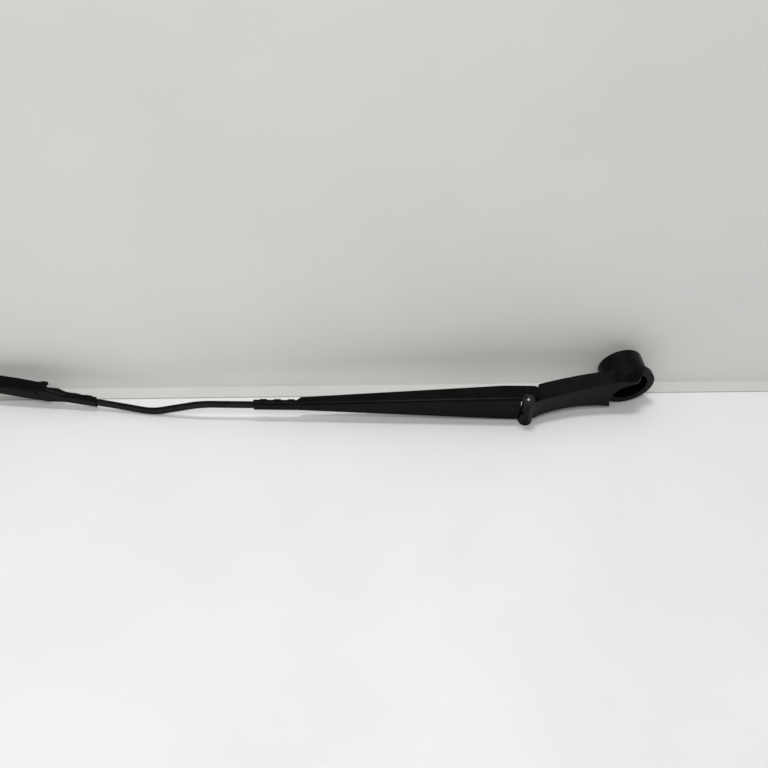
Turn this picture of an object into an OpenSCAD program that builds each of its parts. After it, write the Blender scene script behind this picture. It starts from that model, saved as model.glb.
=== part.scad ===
// Windscreen wiper arm without its blade: a die-cast head with a spindle boss, a sprung hinge,
// a tapered folded channel, a flat steel bar with two bends and a folded channel for the blade.
// Everything is drawn in the arm's own frame and then laid on its side, as it rests on a table.
// Own frame: x along the channel towards the head, y towards the glass, z across the arm,
// with the hinge pin's axis along z through the origin.

/* [Spindle boss] */
// Distance from the hinge pin to the spindle axis
spindle_x = 107; // [100:1:120]
// Lean of the spindle axis towards the blade end, in degrees
spindle_lean = 11.6; // [6:0.2:16]
// Outer radius of the round collar
collar_r = 27; // [26:0.5:28.5]
// Outer radius of the bell that covers the spindle
bell_r = 23.4; // [22.4:0.2:24]
// Wall of the bell
bell_wall = 2.6; // [2:0.1:3.5]
// Height of the bell's rim beyond the collar
bell_h = 23.5; // [18:1:28]
// Radius of the round nut recess
recess_r = 19.5; // [18:0.5:20]
// Radius of the raised pad the nut bears on, at the bottom of the recess
pad_r = 15.5; // [13:0.5:17]
// Depth of the nut seat below the flange
seat_depth = 8; // [5:0.5:9]
// Radius of the hole for the spindle's stud
stud_r = 4.25; // [3.2:0.05:5]
// Length of the straight part of that hole
stud_len = 6; // [4:0.5:7]
// Widest radius of the taper that grips the spindle
taper_r = 6.6; // [6:0.1:8]
// Outer radius of the hub round the taper
hub_r = 11; // [10:0.5:13]
// Height of the hub beyond the recess floor
hub_h = 18; // [15:0.5:20]
// Radius of the cut that lets a socket reach the nut
access_r = 27.6; // [27:0.1:29]

/* [Head neck] */
// Half width of the neck behind the hinge
neck_half_w = 13.4; // [12.6:0.1:14]
// Depth of the neck towards the glass
neck_depth = 17.6; // [15:0.5:19]
// Wall of the cast neck
cast_wall = 3.2; // [2.5:0.1:4]
// Thickness of the ribs under the neck
rib_t = 2.4; // [1.5:0.1:3.5]

/* [Hinge] */
// Radius of the hinge pin
pin_r = 3.5; // [3:0.1:4]
// Outer radius of the knuckle barrel
knuckle_r = 6; // [5.8:0.1:6.4]
// Wall of the bearing bushes
bush_wall = 0.8; // [0.6:0.1:1]
// Thickness of the bush flanges
flange_t = 0.8; // [0.5:0.1:1.2]
// Radius of the ears round the pin
ear_r = 6.6; // [6.4:0.1:7.2]
// Radius of the formed head at the pin's upper end
rivet_r = 7; // [6:0.1:7.4]
// Thickness of the pin's formed head
rivet_t = 1.7; // [1.2:0.1:2.2]
// Width of the slot in the head for the spring hook
slot_w = 5.2; // [4.6:0.1:6]

/* [Retainer channel] */
// Length of the tapered channel from the pin
channel_len = 230; // [215:1:245]
// Length of the crimped socket that grips the bar
socket_len = 43.6; // [36:0.2:50]
// Outer half width at the hinge
channel_half_w = 17.9; // [17.5:0.1:17.9]
// Depth of the side walls at the hinge
wall_depth = 17; // [15:0.5:18]
// Depth of the side walls beside the socket
wall_depth_end = 8.6; // [7:0.2:9.4]
// Sheet thickness
sheet = 1.5; // [1.2:0.1:1.6]
// Outer radius of the folds
fold_r = 2.4; // [2:0.1:3]

/* [Arm bar] */
// Width of the flat bar
bar_w = 9; // [8:0.1:10]
// Thickness of the flat bar
bar_t = 3; // [2.5:0.1:3.2]
// Distance from the pin to the first bend
bend_1 = 326.6; // [300:1:340]
// Distance from the first bend to the second
bend_2 = 52; // [45:1:60]
// Sideways jog between the two bends
jog = 17; // [8:0.5:18]
// Distance from the second bend to the blade-end channel
bend_3 = 60; // [55:1:75]

/* [Blade end] */
// Length of the blade-end channel
tip_len = 126; // [110:1:150]
// Outer half width of its main part
tip_half_w = 10.3; // [9.6:0.1:11]
// Sheet thickness of the blade-end channel
tip_sheet = 1.4; // [1.2:0.1:1.6]
// Depth of its side walls at the very end
tip_depth = 11; // [10:0.5:12]

/* [Spring] */
// Mean radius of the spring coil
coil_r = 4.6; // [4.2:0.1:4.8]
// Wire diameter
wire_d = 2; // [1.6:0.1:2.2]
// Number of turns
turns = 34; // [26:1:38]
// Distance of the anchor pin from the hinge pin along the arm
anchor_x = 6; // [5.5:0.1:6.5]
// Distance of the anchor pin from the hinge pin towards the glass
anchor_y = 8.5; // [8:0.1:9]
// Radius of the anchor pin
anchor_r = 2.5; // [2.2:0.1:2.8]
// Thickness of the stamped spring hook
hook_t = 3; // [2.4:0.1:3.4]

/* [Resting attitude] */
// Roll of the arm about its length as it lies, in degrees
lay_roll = 13.72; // [0:0.01:25]
// Pitch of the arm as it lies, in degrees
lay_pitch = 0.01; // [-5:0.01:5]

/* [Hidden] */

far = 200;          // longer than any piece that a cutter has to pass through
fit = 0.02;         // play between a pressed piece and its bore
run_fit = 0.05;     // radial running clearance on the hinge pin and the anchor pin
touch = 0.1;        // gap between the bar and the sheet folded round it
lap = 1.5;          // how far a fold's flange runs into the flat face it belongs to
circle_fn = 64;
fold_steps = 6;

// Heights in the spindle's own frame, s = 0 on the head's outer face
flange_s = 7;
ledge_s = 12.5;
seat_s = flange_s + seat_depth;
rim_s = ledge_s + bell_h;
hub_s = seat_s + hub_h;
web_t = 5.5;
pad_t = 0.5;

// Rise of the head's outer face and of its glass-side edge: both flatten towards the boss
face_rise = 0.44;
face_flatten = 0.0021;
edge_flatten = 0.0026;
neck_from = 12;
neck_to = 96;
function face_y(x) = -2.6 + face_rise * x - face_flatten * x * x;
function edge_y(x) = -0.1 + neck_depth + face_rise * x - edge_flatten * x * x;

spindle_y = face_y(spindle_x) + 3.6;
function by_spindle(u, s) = [spindle_x + u * cos(spindle_lean) - s * sin(spindle_lean),
                             spindle_y + u * sin(spindle_lean) + s * cos(spindle_lean)];

channel_y = 0.25;                      // outer face of the channel, seen from the pin's axis
face_end = knuckle_r + 0.7;            // the channel's flat face stops short of the knuckle
straight_from = 20;                    // the ears and the folds are parallel from here on
socket_half_w = bar_w / 2 + touch + sheet;
taper_len = channel_len - straight_from;
taper = atan((channel_half_w - socket_half_w) / taper_len);
ear_reach = 11.4;
ear_corner = 4;
socket_depth = sheet + touch + bar_t;
bar_y = channel_y + sheet + touch / 2 + bar_t / 2;
bar_from = channel_len - 34;

ear_in = channel_half_w - sheet;
knuckle_half = ear_in - 0.1 - flange_t;
bush_r = pin_r + run_fit + bush_wall;
bush_len = 9;

tip_start = [-(bend_1 + bend_2 + bend_3 - 2), bar_y + 10, -(jog - 4.4)];
tip_yaw = 5.3;
tip_pitch = 6.5;

coil_y = channel_y + sheet + 0.6 + coil_r + wire_d / 2;
hook_len = 47;
hook_rise = 3;                         // height of the hook's shank and eye over its ring
hook_fold = 51.5;                      // turn of the hook when the arm is folded out fully
coil_to = anchor_x - hook_len - 16;
coil_from = -(bar_from - 22);
wire_sides = 6;
turn_steps = 12;

// Places a child at the spindle: its z axis runs along the spindle towards the glass
module at_spindle() {
    translate([spindle_x, spindle_y, 0]) rotate([0, 0, spindle_lean]) rotate([-90, 0, 0])
        children();
}

// Turns the arm's own frame into the lying one, with the middle of the nut seat at the origin
module laid() {
    rotate([0, lay_pitch, 0]) rotate([lay_roll, 0, 0])
        translate([-spindle_x + seat_s * sin(spindle_lean), -spindle_y - seat_s * cos(spindle_lean), 0])
            children();
}

// Extrudes a side view drawn in x and y across the arm
module across(half_w) {
    translate([0, 0, -half_w]) linear_extrude(2 * half_w) children();
}

// Extrudes a plan drawn in x and z through the arm
module through() {
    rotate([90, 0, 0]) translate([0, 0, -far / 2]) linear_extrude(far) children();
}

// Plan of the neck: it narrows behind the hinge, then flares out to the collar
module neck_plan(inset) {
    half = [[neck_from, neck_half_w], [30, neck_half_w - 0.6], [45, neck_half_w - 0.2], [61, 15],
            [75, 17], [83, 18.6], [90, 20.4], [neck_to + 4, 20.4]];
    upper = [for (p = half) [p[0], p[1] - inset]];
    polygon(concat(upper, [for (i = [len(half) - 1 : -1 : 0]) [upper[i][0], -upper[i][1]]]));
}

// Side view between the outer face, moved inwards by skin, and the glass-side edge
module neck_side(x0, x1, skin, extra) {
    step = 6;
    polygon(concat(
        [for (x = [x0 : step : x1 - 0.1]) [x, face_y(x) + skin]], [[x1, face_y(x1) + skin]],
        [[x1, edge_y(x1) + extra]], [for (x = [x1 - step : -step : x0 + 0.1]) [x, edge_y(x) + extra]],
        [[x0, edge_y(x0) + extra]]));
}

// Side view of the boss: under the head's outer face, then stepping down to the flange at the nose
module boss_side() {
    polygon(concat([for (x = [50 : 6 : spindle_x]) [x, face_y(x)]],
        [by_spindle(3, -3.2), by_spindle(7, 0.8), by_spindle(10, 4.4), by_spindle(13, flange_s)],
        [by_spindle(50, flange_s), [spindle_x + 50, 90], [50, 90]]));
}

// Sloping side of the boss on its upper flank, between the outer face and the collar
module flank_cut() {
    at_spindle() rotate([90, 0, 90]) translate([0, 0, -32]) linear_extrude(80)
        polygon([[-20.5, -20], [-20.5, -4], [-collar_r - 0.4, 6], [-60, 6], [-60, -20]]);
}

module boss() {
    difference() {
        intersection() {
            at_spindle() translate([0, 0, -9]) cylinder(r = collar_r, h = 9 + ledge_s, $fn = circle_fn);
            across(collar_r + 5) boss_side();
        }
        flank_cut();
    }
    at_spindle() {
        translate([0, 0, ledge_s - 1])
            cylinder(r1 = bell_r, r2 = bell_r - 0.3, h = rim_s - ledge_s + 1, $fn = circle_fn);
    }
}

// Two cheeks that carry the knuckles and the anchor pin, seen from the side
module cheek_side() {
    circle(r = knuckle_r, $fn = circle_fn);
    polygon([[0, -knuckle_r], [8, face_y(8) - 0.6], [neck_from + 4, face_y(neck_from + 4)],
             [neck_from + 4, edge_y(neck_from + 4)], [14.6, 21.5], [12.4, 14.6], [1.5, 14.2],
             [-1.5, 12], [-2.4, 8], [-knuckle_r, 0]]);
}

// Spaces cut into the head round the spindle: recess, bell, hub and the stud's hole
module spindle_cuts() {
    at_spindle() {
        translate([7, 10, -40]) cylinder(r = access_r, h = 40 + flange_s, $fn = circle_fn);
        difference() {
            translate([0, 0, flange_s - 1])
                cylinder(r = recess_r, h = seat_depth + 1 + pad_t, $fn = circle_fn);
            translate([0, 0, seat_s]) cylinder(r = pad_r, h = web_t, $fn = circle_fn);
        }
        translate([0, 0, seat_s - 1]) cylinder(r = stud_r, h = stud_len + 2, $fn = circle_fn);
        translate([0, 0, seat_s + stud_len])
            cylinder(r1 = stud_r + 0.35, r2 = taper_r, h = hub_h - stud_len, $fn = circle_fn);
        difference() {
            translate([0, 0, seat_s + web_t])
                cylinder(r = bell_r - 0.3 - bell_wall, h = far, $fn = circle_fn);
            cylinder(r = hub_r, h = hub_s, $fn = circle_fn);
        }
        translate([0, 0, hub_s]) cylinder(r = hub_r + 1, h = far, $fn = circle_fn);
    }
}

// Slot between the cheeks, in which the spring hook swings
module hook_slot() {
    across(slot_w / 2)
        polygon([[-9, -9], [-5.2, -9], [-2.2, -2.2], [2.2, 2.2], [5, 3.2], [anchor_x + 5.6, 4],
                 [anchor_x + 5.6, 30], [-9, 30]]);
}

module head_casting() {
    color("#1a1b1d") laid() difference() {
        union() {
            intersection() {
                across(collar_r) neck_side(neck_from, neck_to, 0, 0);
                through() neck_plan(0);
            }
            across(neck_half_w) cheek_side();
            translate([0, 0, -knuckle_half])
                cylinder(r = knuckle_r, h = 2 * knuckle_half, $fn = circle_fn);
            boss();
        }
        difference() {
            intersection() {
                across(collar_r) neck_side(22, 79, cast_wall, 10);
                through() neck_plan(cast_wall);
            }
            for (x = [40, 60])
                translate([x, -far / 2, -far / 2]) cube([rib_t, far / 2 + edge_y(x) - 7, far]);
        }
        spindle_cuts();
        hook_slot();
        translate([0, 0, -knuckle_half - 1])
            cylinder(r = bush_r + fit, h = 2 * knuckle_half + 2, $fn = circle_fn);
        translate([anchor_x, anchor_y, -neck_half_w - 1])
            cylinder(r = anchor_r + fit, h = 2 * neck_half_w + 2, $fn = circle_fn);
    }
}

// Steel pin with a dimpled head on the upper ear; its lower end is pressed in flush with the ear
module hinge_pin() {
    top = channel_half_w;
    color("#26272a") laid() difference() {
        union() {
            translate([0, 0, -top]) cylinder(r = pin_r, h = 2 * top, $fn = circle_fn);
            translate([0, 0, top]) cylinder(r1 = rivet_r, r2 = rivet_r - 1.1, h = rivet_t, $fn = circle_fn);
        }
        translate([0, 0, top + rivet_t - 1.2]) cylinder(r1 = 1.6, r2 = 3.4, h = 1.3, $fn = circle_fn);
    }
}

// Flanged bush in one knuckle; side is 1 above the slot and -1 below it
module hinge_bush(side) {
    laid() mirror([0, 0, side > 0 ? 0 : 1]) difference() {
        union() {
            translate([0, 0, knuckle_half - bush_len]) cylinder(r = bush_r, h = bush_len, $fn = circle_fn);
            translate([0, 0, knuckle_half]) cylinder(r = knuckle_r, h = flange_t, $fn = circle_fn);
        }
        cylinder(r = pin_r + run_fit, h = far, $fn = circle_fn);
    }
}

module hinge_bush_upper() {
    color("#b08d57") hinge_bush(1);
}

module hinge_bush_lower() {
    color("#b08d57") hinge_bush(-1);
}

module anchor_pin() {
    color("silver") laid() translate([anchor_x, anchor_y, -neck_half_w])
        cylinder(r = anchor_r, h = 2 * neck_half_w, $fn = circle_fn);
}

// Stamped link: a ring on the anchor pin, an arch that comes to lie over the hinge pin when the
// arm is folded out, and a raised shank with the eye for the spring
module spring_hook() {
    arch_x = -anchor_x * cos(hook_fold) - anchor_y * sin(hook_fold);
    arch_y = anchor_x * sin(hook_fold) - anchor_y * cos(hook_fold);
    arch_in = pin_r + 1;
    arch_out = arch_in + 3.7;
    low = hook_rise - 1.8;
    color("silver") laid() translate([anchor_x, anchor_y, 0]) across(hook_t / 2) difference() {
        union() {
            circle(r = anchor_r + 2, $fn = circle_fn);
            intersection() {
                translate([arch_x, arch_y]) circle(r = arch_out, $fn = circle_fn);
                union() {
                    translate([arch_x - arch_out, low]) square([2 * arch_out, 12]);
                    translate([arch_x, arch_y]) square([arch_out, 12]);
                }
            }
            translate([-hook_len, low]) square([hook_len + arch_x - arch_in + 1, 3.6]);
            translate([-hook_len, hook_rise]) circle(r = 3.6, $fn = circle_fn);
        }
        circle(r = anchor_r + run_fit, $fn = circle_fn);
        translate([arch_x, arch_y]) circle(r = arch_in, $fn = circle_fn);
        translate([-hook_len, hook_rise]) circle(r = 1.8, $fn = circle_fn);
    }
}

// One fold with its wall, in depth (first) and width (second), the outer corner at the origin
function fold_points(depth, leg, t, r) = concat(
    [[depth, 0]],
    [for (i = [0 : fold_steps]) let (a = 90 * i / fold_steps) [r - r * sin(a), -r + r * cos(a)]],
    [[0, -leg], [t, -leg]],
    [for (i = [fold_steps : -1 : 0]) let (a = 90 * i / fold_steps)
        [r - (r - t) * sin(a), -r + (r - t) * cos(a)]],
    [[depth, -t]]);

// A straight length of folded edge that starts at x = from with its outer side at z = half_w
module folded_edge(from, half_w, turn, length, t, r) {
    translate([from, 0, half_w]) rotate([0, -turn, 0]) rotate([90, 0, 90])
        linear_extrude(length) polygon(fold_points(30, r + lap, t, r));
}

// Side view of the retainer: socket, step, tapered wall and ears round the pin
module retainer_side() {
    edge = channel_y + wall_depth;
    polygon([[-channel_len - socket_len, channel_y - 1],
             [-channel_len - socket_len, channel_y + socket_depth + 0.5],
             [-channel_len, channel_y + socket_depth + 0.5], [-channel_len + 4, channel_y + wall_depth_end],
             [-25, edge], [ear_reach - ear_corner, edge], [ear_reach - 1.2, edge - 1.2],
             [ear_reach, edge - ear_corner], [ear_reach, 5], [ear_r - 0.3, 1], [0, 0], [-face_end, channel_y - 1]]);
    circle(r = ear_r, $fn = circle_fn);
}

module retainer_channel() {
    color("#1a1b1d") laid() difference() {
        union() {
            intersection() {
                union() {
                    for (side = [0, 1]) mirror([0, 0, side]) translate([0, channel_y, 0]) {
                        folded_edge(-channel_len - socket_len, socket_half_w, 0, socket_len + 0.4, sheet, fold_r);
                        folded_edge(-channel_len, socket_half_w, taper, taper_len / cos(taper) + 0.1,
                                    sheet, fold_r);
                        folded_edge(-straight_from, channel_half_w, 0, straight_from - face_end, sheet, fold_r);
                        translate([-face_end - 0.5, -ear_r - 2, channel_half_w - sheet])
                            cube([face_end + ear_reach + 1, 40, sheet]);
                    }
                }
                across(30) retainer_side();
            }
            translate([0, channel_y, 0]) rotate([-90, 0, 0]) linear_extrude(sheet) face_plan();
            for (side = [0, 1], i = [0 : 2]) mirror([0, 0, side])
                translate([-channel_len - 9 - 14 * i, channel_y + socket_depth - 0.01, 1.6])
                    cube([7, sheet, socket_half_w - 1.6]);
        }
        translate([0, 0, -far / 2]) cylinder(r = pin_r + fit, h = far, $fn = circle_fn);
    }
}

// Flat of the outer face between the two folds
module face_plan() {
    in = fold_r;
    half = [[-channel_len - socket_len, socket_half_w - in], [-channel_len, socket_half_w - in],
            [-straight_from, channel_half_w - in], [-face_end, channel_half_w - in]];
    polygon(concat(half, [for (i = [3 : -1 : 0]) [half[i][0], -half[i][1]]]));
}

// Helpers for bodies swept along a path
function unit(v) = v / norm(v);
function along(pts, i) = unit(pts[min(i + 1, len(pts) - 1)] - pts[max(i - 1, 0)]);
function mix(a, b, t) = a + (b - a) * t;

// Rounds the corner at b between a and c with a short parabola
function bend_points(a, b, c, reach, n) =
    let (p = b + unit(a - b) * reach, q = b + unit(c - b) * reach)
    [for (i = [0 : n]) let (t = i / n) mix(mix(p, b, t), mix(b, q, t), t)];

// Closed tube through rings that all have the same number of points
module skin_rings(rings) {
    n = len(rings[0]);
    last = len(rings) - 1;
    polyhedron(
        points = [for (r = rings) for (p = r) p],
        faces = concat(
            [[for (j = [n - 1 : -1 : 0]) j]],
            [for (i = [0 : last - 1], j = [0 : n - 1]) let (k = (j + 1) % n) [i * n + j, i * n + k, (i + 1) * n + k]],
            [for (i = [0 : last - 1], j = [0 : n - 1]) let (k = (j + 1) % n)
                [i * n + j, (i + 1) * n + k, (i + 1) * n + j]],
            [[for (j = [0 : n - 1]) last * n + j]]));
}

// Flat bar: corners of its section, a little broken, around a point with axes w and n
function bar_ring(c, w, n, hw, ht, b) = [
    c + w * hw + n * (ht - b), c + w * (hw - b) + n * ht, c - w * (hw - b) + n * ht, c - w * hw + n * (ht - b),
    c - w * hw - n * (ht - b), c - w * (hw - b) - n * ht, c + w * (hw - b) - n * ht, c + w * hw - n * (ht - b)];

module arm_bar() {
    start = [-bar_from, bar_y, 0];
    b1 = [-bend_1, bar_y, 0];
    b2 = [-bend_1 - bend_2, bar_y + 1.8, -jog];
    b3 = tip_start - tip_dir() * 9.5;
    finish = tip_start + tip_dir() * 40;
    path = concat([start], bend_points(start, b1, b2, 11, 6), bend_points(b1, b2, b3, 11, 6),
                  bend_points(b2, b3, finish, 9, 4), [finish]);
    rings = [for (i = [0 : len(path) - 1])
        let (t = along(path, i), w = unit(cross(t, [0, 1, 0])), n = cross(w, t))
        bar_ring(path[i], w, n, bar_w / 2, bar_t / 2, 0.5)];
    color("#1d1e20") laid() difference() {
        skin_rings(rings);
        translate([-bar_from - 5, 0, 0]) rotate([-90, 0, 0]) cylinder(r = 2.2, h = 30, $fn = 32);
    }
}

// Direction of the blade-end channel, away from the head
function tip_dir() = [-cos(tip_yaw) * cos(tip_pitch), sin(tip_pitch), sin(tip_yaw) * cos(tip_pitch)];

// Places a child on the blade-end channel: x runs away from the head, y is depth, z is width
module at_tip() {
    translate(tip_start) rotate([0, tip_yaw, -tip_pitch]) mirror([1, 0, 0])
        translate([0, -bar_t / 2 - tip_sheet - touch / 2, 0]) children();
}

// Side view of the blade-end channel: socket wall, shallow wall, barbed nose, deep wall
module tip_side() {
    neck_d = tip_sheet + bar_t + touch + 0.5;
    polygon([[0, -2], [0, neck_d], [32, neck_d + 0.7], [40, 7.2], [50, 4.9], [52.5, 7], [50.6, 9], [51.5, 11.4],
             [56, 11.6], [61, 9.6], [80, 10.4], [tip_len - 4, tip_depth], [tip_len, tip_depth - 4],
             [tip_len, -2]]);
}

module blade_end_channel() {
    r = 2;
    neck_w = bar_w / 2 + touch + tip_sheet;
    end_w = tip_half_w - 1.3;
    half = [[0, neck_w], [32, neck_w], [50, tip_half_w], [80, tip_half_w], [tip_len, end_w]];
    color("#1a1b1d") laid() at_tip() {
        intersection() {
            for (side = [0, 1], i = [0 : 3]) mirror([0, 0, side])
                let (run = half[i + 1] - half[i], over = i == 0 ? 0.4 : 0)
                    folded_edge(half[i][0], half[i][1], atan2(run[1], run[0]), norm(run) + over, tip_sheet, r);
            across(20) tip_side();
        }
        rotate([-90, 0, 0]) linear_extrude(tip_sheet)
            polygon(concat([for (p = half) [p[0], p[1] - r]], [for (i = [4 : -1 : 0]) [half[i][0], r - half[i][1]]]));
        for (side = [0, 1], i = [0, 1]) mirror([0, 0, side])
            translate([5 + 13 * i, tip_sheet + bar_t + touch - 0.01, 1.6]) cube([7, tip_sheet, neck_w - 1.6]);
        rotate([90, 0, 0]) translate([0, 0, -0.3]) linear_extrude(0.9) {
            translate([66, 0]) circle(r = 6, $fn = circle_fn);
            translate([66, -6]) square([48, 12]);
            translate([114, 0]) circle(r = 6, $fn = circle_fn);
        }
    }
}

// Extension spring: a hook through the bar, the coils and a loop through the spring hook's eye
module tension_spring() {
    eye = [anchor_x - hook_len, anchor_y + hook_rise, 0];
    hole = [-bar_from - 5, bar_y, 0];
    pitch = (coil_to - coil_from) / turns;
    bar_end = [hole + [0.3, -0.3, 0], hole + [0.3, 3.4, 0], hole + [4, coil_y - bar_y + 0.8, 0],
               [coil_from - 5, coil_y + 0.6, 0], [coil_from - 1.5, coil_y, coil_r * 0.7]];
    coil = [for (i = [0 : turns * turn_steps]) let (a = 360 * i / turn_steps)
        [coil_from + pitch * i / turn_steps, coil_y + coil_r * sin(a), coil_r * cos(a)]];
    loop_end = [[coil_to + 2, coil_y, coil_r * 0.7], [coil_to + 6, eye[1], 3.6], eye + [-1.5, 0, 3.6],
                eye + [0, 0, 2.2], eye + [0, 0, -2.6], eye + [-2.4, 0, -3.4]];
    path = concat(bar_end, coil, loop_end);
    rings = [for (i = [0 : len(path) - 1])
        let (t = along(path, i), w = unit(cross(t, abs(t[1]) > 0.9 ? [0, 0, 1] : [0, 1, 0])), n = cross(w, t))
        [for (k = [0 : wire_sides - 1]) let (a = 360 * k / wire_sides)
            path[i] + (w * cos(a) + n * sin(a)) * wire_d / 2]];
    color("silver") laid() skin_rings(rings);
}

head_casting();
hinge_pin();
hinge_bush_upper();
hinge_bush_lower();
anchor_pin();
spring_hook();
tension_spring();
retainer_channel();
arm_bar();
blade_end_channel();
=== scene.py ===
import math

import bpy
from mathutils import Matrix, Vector


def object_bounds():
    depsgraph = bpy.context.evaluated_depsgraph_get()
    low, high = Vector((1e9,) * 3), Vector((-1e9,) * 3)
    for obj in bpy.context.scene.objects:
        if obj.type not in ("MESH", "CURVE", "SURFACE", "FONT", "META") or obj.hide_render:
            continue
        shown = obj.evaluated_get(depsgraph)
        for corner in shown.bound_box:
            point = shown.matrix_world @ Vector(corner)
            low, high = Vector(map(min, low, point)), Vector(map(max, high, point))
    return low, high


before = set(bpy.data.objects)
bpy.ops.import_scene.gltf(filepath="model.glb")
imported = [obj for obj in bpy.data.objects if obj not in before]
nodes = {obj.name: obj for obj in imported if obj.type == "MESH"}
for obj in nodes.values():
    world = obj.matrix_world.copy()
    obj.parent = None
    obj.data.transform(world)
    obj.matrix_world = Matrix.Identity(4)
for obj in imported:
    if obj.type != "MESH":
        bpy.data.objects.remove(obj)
cad_low, cad_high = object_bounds()
scene = bpy.context.scene
scene.view_settings.view_transform = "Standard"
scene.view_settings.look = "None"

MM = 0.001
HINGE = Vector((-103.99, -37.63, -9.17)) * MM   # middle of the hinge pin
HINGE_AXIS = Vector((0.0, -0.2372, 0.9715))
PIN_CROWN = HINGE + HINGE_AXIS * 18.6 * MM      # the riveted end of the pin

PICTURE = 768             # pixels, width and height
FOCAL = 1000.0            # focal length in pixels
HINGE_AT = (526.6, 410.2)         # where the hinge shows, in pixels
TABLE_EDGE_LEFT = (115, 399.3)    # two points of the table's back edge, in pixels
TABLE_EDGE_RIGHT = (743, 392.0)
# width of the strip of painted shade along the table's back edge
EDGE_SHADE_WIDTH = 1.6 * MM
WALL_BEHIND_EDGE = 18.0 * MM


# Materials
def new_material(name):
    mat = bpy.data.materials.new(name)
    mat.use_nodes = True
    tree = mat.node_tree
    shader = tree.nodes["Principled BSDF"]
    return mat, tree, shader


def noise(tree, scale, detail=3.0, stretch=(1.0, 1.0, 1.0)):
    """Object-space noise; stretch makes it run along an axis."""
    coord = tree.nodes.new("ShaderNodeTexCoord")
    mapping = tree.nodes.new("ShaderNodeMapping")
    mapping.inputs["Scale"].default_value = stretch
    tex = tree.nodes.new("ShaderNodeTexNoise")
    tex.inputs["Scale"].default_value = scale
    tex.inputs["Detail"].default_value = detail
    tree.links.new(coord.outputs["Object"], mapping.inputs["Vector"])
    tree.links.new(mapping.outputs["Vector"], tex.inputs["Vector"])
    return tex.outputs["Fac"]


def spread(tree, value, low, high, out_low, out_high):
    """Maps the part of a value between low and high to a new range."""
    node = tree.nodes.new("ShaderNodeMapRange")
    node.inputs["From Min"].default_value = low
    node.inputs["From Max"].default_value = high
    node.inputs["To Min"].default_value = out_low
    node.inputs["To Max"].default_value = out_high
    tree.links.new(value, node.inputs["Value"])
    return node.outputs["Result"]


def two_tone(tree, value, dark, light):
    ramp = tree.nodes.new("ShaderNodeValToRGB")
    ramp.color_ramp.elements[0].position = 0.35
    ramp.color_ramp.elements[0].color = (*dark, 1.0)
    ramp.color_ramp.elements[1].position = 0.65
    ramp.color_ramp.elements[1].color = (*light, 1.0)
    tree.links.new(value, ramp.inputs["Fac"])
    return ramp.outputs["Color"]


def rounded_normal(tree, radius, height, strength, distance):
    """Edges that catch light as if slightly rounded, with a fine surface relief on top."""
    bevel = tree.nodes.new("ShaderNodeBevel")
    bevel.samples = 4
    bevel.inputs["Radius"].default_value = radius
    bump = tree.nodes.new("ShaderNodeBump")
    bump.inputs["Strength"].default_value = strength
    bump.inputs["Distance"].default_value = distance
    tree.links.new(height, bump.inputs["Height"])
    tree.links.new(bevel.outputs["Normal"], bump.inputs["Normal"])
    return bump.outputs["Normal"]


def paint(name, dark, light, rough, grain, relief, edge, gloss):
    """Black paint: a little uneven in colour and gloss, with a fine grain."""
    mat, tree, shader = new_material(name)
    patches = noise(tree, 60.0)
    fine = noise(tree, grain, 4.0)
    tree.links.new(two_tone(tree, patches, dark, light), shader.inputs["Base Color"])
    tree.links.new(spread(tree, patches, 0.3, 0.7, rough[0], rough[1]), shader.inputs["Roughness"])
    tree.links.new(rounded_normal(tree, edge, fine, relief, 0.0002), shader.inputs["Normal"])
    shader.inputs["Specular IOR Level"].default_value = gloss
    return mat


def painted_highlight_spot(mat, centre, inner, outer, metal):
    """Painted highlight: a bright metal spot round a point, such as a riveted pin's crown."""
    tree = mat.node_tree
    shader = tree.nodes["Principled BSDF"]
    coord = tree.nodes.new("ShaderNodeTexCoord")
    reach = tree.nodes.new("ShaderNodeVectorMath")
    reach.operation = "DISTANCE"
    reach.inputs[1].default_value = centre
    tree.links.new(coord.outputs["Object"], reach.inputs[0])
    # mask of the painted highlight: full within inner, gone by outer
    highlight_mask = spread(tree, reach.outputs["Value"], inner, outer, 0.9, 0.0)
    colour = tree.nodes.new("ShaderNodeMix")
    colour.data_type = "RGBA"
    tree.links.new(highlight_mask, colour.inputs[0])
    tree.links.new(shader.inputs["Base Color"].links[0].from_socket, colour.inputs[6])
    colour.inputs[7].default_value = (*metal, 1.0)
    tree.links.new(colour.outputs[2], shader.inputs["Base Color"])
    tree.links.new(highlight_mask, shader.inputs["Metallic"])


def bare_metal(name, dark, light, rough, stretch):
    """Bare metal with drawn or stamped streaks along one axis."""
    mat, tree, shader = new_material(name)
    streaks = noise(tree, 400.0, 4.0, stretch)
    tree.links.new(two_tone(tree, streaks, dark, light), shader.inputs["Base Color"])
    tree.links.new(spread(tree, streaks, 0.3, 0.7, rough[0], rough[1]), shader.inputs["Roughness"])
    tree.links.new(rounded_normal(tree, 0.0002, streaks, 0.25, 0.00005), shader.inputs["Normal"])
    shader.inputs["Metallic"].default_value = 1.0
    return mat


CAST = paint("cast black paint", (0.0011, 0.0012, 0.0013), (0.0020, 0.0021, 0.0022), (0.28, 0.38),
             1800.0, 0.30, 0.0006, 0.08)
SHEET = paint("sheet black paint", (0.0018, 0.0018, 0.0019), (0.0028, 0.0028, 0.0030), (0.20, 0.30),
              900.0, 0.10, 0.0005, 0.05)
BAR = paint("bar black paint", (0.0012, 0.0012, 0.0013), (0.0022, 0.0022, 0.0023), (0.24, 0.34),
            900.0, 0.15, 0.0003, 0.09)
PIN = paint("pin black paint", (0.002, 0.002, 0.002), (0.006, 0.006, 0.007), (0.22, 0.32),
            1200.0, 0.2, 0.0005, 0.25)
# Painted highlight: a bright metal spot on the pin's riveted crown
painted_highlight_spot(PIN, PIN_CROWN, 0.0008, 0.0018, (0.55, 0.56, 0.57))
LINK = bare_metal("stamped steel", (0.26, 0.27, 0.28), (0.42, 0.43, 0.44), (0.28, 0.42), (0.2, 1.0, 1.0))
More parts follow.
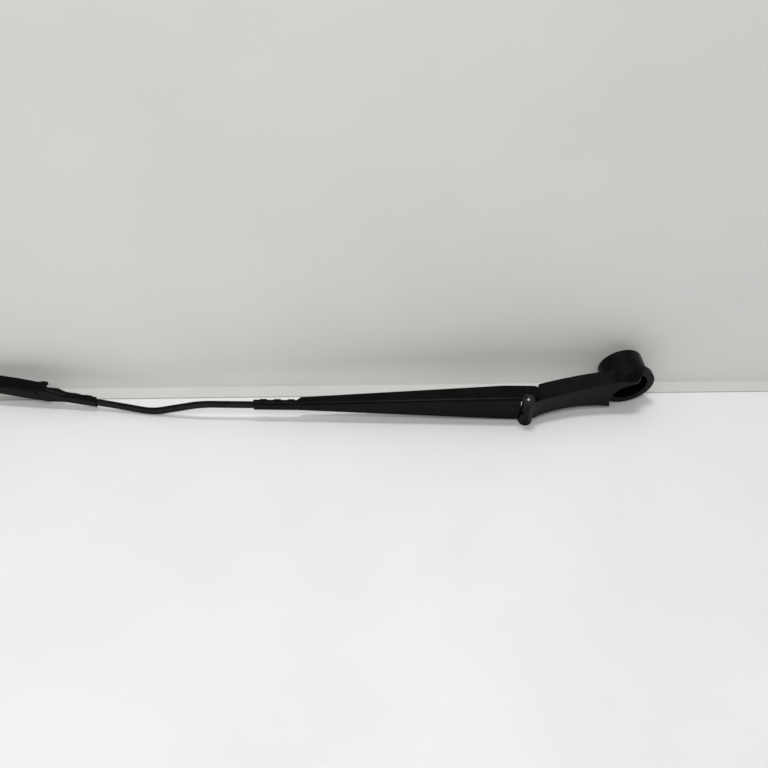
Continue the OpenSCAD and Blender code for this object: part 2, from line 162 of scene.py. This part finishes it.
SPRING = bare_metal("spring wire", (0.20, 0.21, 0.22), (0.33, 0.34, 0.35), (0.24, 0.38), (0.3, 1.0, 1.0))
# Brass made much darker than bare brass, so the bush flanges show dark
BRASS = bare_metal("oiled bearing brass", (0.14, 0.10, 0.05), (0.22, 0.16, 0.08), (0.35, 0.48),
                   (1.0, 1.0, 0.3))

FINISH = {
    "head_casting": CAST,
    "hinge_pin": PIN,
    "hinge_bush_upper": BRASS,
    "hinge_bush_lower": BRASS,
    "anchor_pin": LINK,
    "spring_hook": LINK,
    "tension_spring": SPRING,
    "retainer_channel": SHEET,
    "arm_bar": BAR,
    "blade_end_channel": SHEET,
}
for name, mat in FINISH.items():
    mesh = nodes[name].data
    mesh.materials.clear()
    mesh.materials.append(mat)


# Camera
ELEVATION = math.radians(40.3)
YAW = math.radians(0.87)
DISTANCE = 1.0
PIXEL = DISTANCE / FOCAL      # size of a pixel at the hinge
level = Vector((-math.sin(YAW), math.cos(YAW), 0.0))
right = Vector((math.cos(YAW), math.sin(YAW), 0.0))
forward = level * math.cos(ELEVATION) - Vector((0.0, 0.0, math.sin(ELEVATION)))
up = right.cross(forward)
target = (HINGE - right * (HINGE_AT[0] - PICTURE / 2) * PIXEL
          + up * (HINGE_AT[1] - PICTURE / 2) * PIXEL)
camera = bpy.data.objects.new("camera", bpy.data.cameras.new("camera"))
scene.collection.objects.link(camera)
camera.location = target - forward * DISTANCE
camera.rotation_mode = "QUATERNION"
camera.rotation_quaternion = forward.to_track_quat("-Z", "Y")
camera.data.sensor_width = 36.0
camera.data.lens = camera.data.sensor_width * FOCAL / PICTURE
camera.data.clip_start = 0.05
camera.data.clip_end = 20.0
scene.camera = camera


# Table and wall
floor_z = cad_low.z


def on_table(x, y):
    """The point of the table that shows at a pixel of the picture."""
    ray = forward + right * ((x - PICTURE / 2) / FOCAL) - up * ((y - PICTURE / 2) / FOCAL)
    return camera.location + ray * ((floor_z - camera.location.z) / ray.z)


def plane(name, corners, mat):
    mesh = bpy.data.meshes.new(name)
    mesh.from_pydata(corners, [], [(0, 1, 2, 3)])
    mesh.materials.append(mat)
    obj = bpy.data.objects.new(name, mesh)
    scene.collection.objects.link(obj)
    return obj


def plain_surface(name, dark, light, scale, see_through_back):
    mat, tree, shader = new_material(name)
    tree.links.new(two_tone(tree, noise(tree, scale), dark, light), shader.inputs["Base Color"])
    shader.inputs["Roughness"].default_value = 0.6
    shader.inputs["Specular IOR Level"].default_value = 0.25
    if see_through_back:
        clear = tree.nodes.new("ShaderNodeBsdfTransparent")
        side = tree.nodes.new("ShaderNodeNewGeometry")
        mix = tree.nodes.new("ShaderNodeMixShader")
        tree.links.new(side.outputs["Backfacing"], mix.inputs["Fac"])
        tree.links.new(shader.outputs["BSDF"], mix.inputs[1])
        tree.links.new(clear.outputs["BSDF"], mix.inputs[2])
        tree.links.new(mix.outputs["Shader"], tree.nodes["Material Output"].inputs["Surface"])
    return mat


TABLE = plain_surface("white table", (0.705, 0.715, 0.725), (0.735, 0.745, 0.755), 6.0, False)
# Painted shade: a dark strip along the table's back edge
EDGE_SHADE = plain_surface("table edge", (0.30, 0.30, 0.30), (0.36, 0.36, 0.36), 60.0, False)
WALL = plain_surface("pale wall", (0.74, 0.74, 0.72), (0.77, 0.77, 0.75), 5.0, True)
# Painted shade: the level shelf gets more light than the upright wall, so it is coloured darker to show
# as dim as the wall
WALL_SHADE_SHELF = plain_surface("pale shelf", (0.54, 0.54, 0.525), (0.57, 0.57, 0.555), 5.0, False)

# The white table ends on the line seen in the photo, with a thin dark strip of painted shade along its
# back edge; a pale strip as high as the table and the wall follow behind it, so that the bell clears the
# wall
edge_left = on_table(*TABLE_EDGE_LEFT)
edge_right = on_table(*TABLE_EDGE_RIGHT)
along = (edge_right - edge_left).normalized()
back = Vector((-along.y, along.x, 0.0))
left_end = edge_left - along * 4
right_end = edge_right + along * 4
plane("table", [left_end - back * 6, right_end - back * 6, right_end, left_end], TABLE)
# the thin dark strip of painted shade along the table's back edge
edge_shade_step = back * EDGE_SHADE_WIDTH
plane("table_edge", [left_end, right_end, right_end + edge_shade_step, left_end + edge_shade_step], EDGE_SHADE)
# the shelf, coloured darker as painted wall shade
plane("shelf", [left_end + edge_shade_step, right_end + edge_shade_step, right_end + back * 6, left_end + back * 6], WALL_SHADE_SHELF)
gap = back * WALL_BEHIND_EDGE
rise = Vector((0.0, 0.0, 3.0))
plane("wall", [left_end + gap, right_end + gap, right_end + gap + rise, left_end + gap + rise], WALL)


# Light
def area_light(name, location, aim, size, power, colour):
    data = bpy.data.lights.new(name, "AREA")
    data.shape = "RECTANGLE"
    data.size, data.size_y = size
    data.energy = power
    data.color = colour
    obj = bpy.data.objects.new(name, data)
    obj.location = location
    obj.rotation_mode = "QUATERNION"
    obj.rotation_quaternion = (Vector(aim) - Vector(location)).to_track_quat("-Z", "Y")
    scene.collection.objects.link(obj)
    return obj


area_light("overhead", (-0.25, -0.10, 2.0), (-0.25, -0.06, 0.0), (0.5, 0.22), 14.5, (1.0, 0.99, 0.97))
area_light("front", (-0.35, -1.6, 2.1), (-0.25, -0.15, 0.0), (1.6, 1.2), 29.0, (1.0, 0.99, 0.97))
area_light("side", (-1.3, -1.0, 1.0), (-0.1, -0.1, 0.0), (0.5, 0.9), 2.0, (1.0, 0.98, 0.95))

world = bpy.data.worlds.new("world")
scene.world = world
world.use_nodes = True
background = world.node_tree.nodes["Background"]
background.inputs["Color"].default_value = (0.90, 0.92, 0.95, 1.0)
background.inputs["Strength"].default_value = 0.27
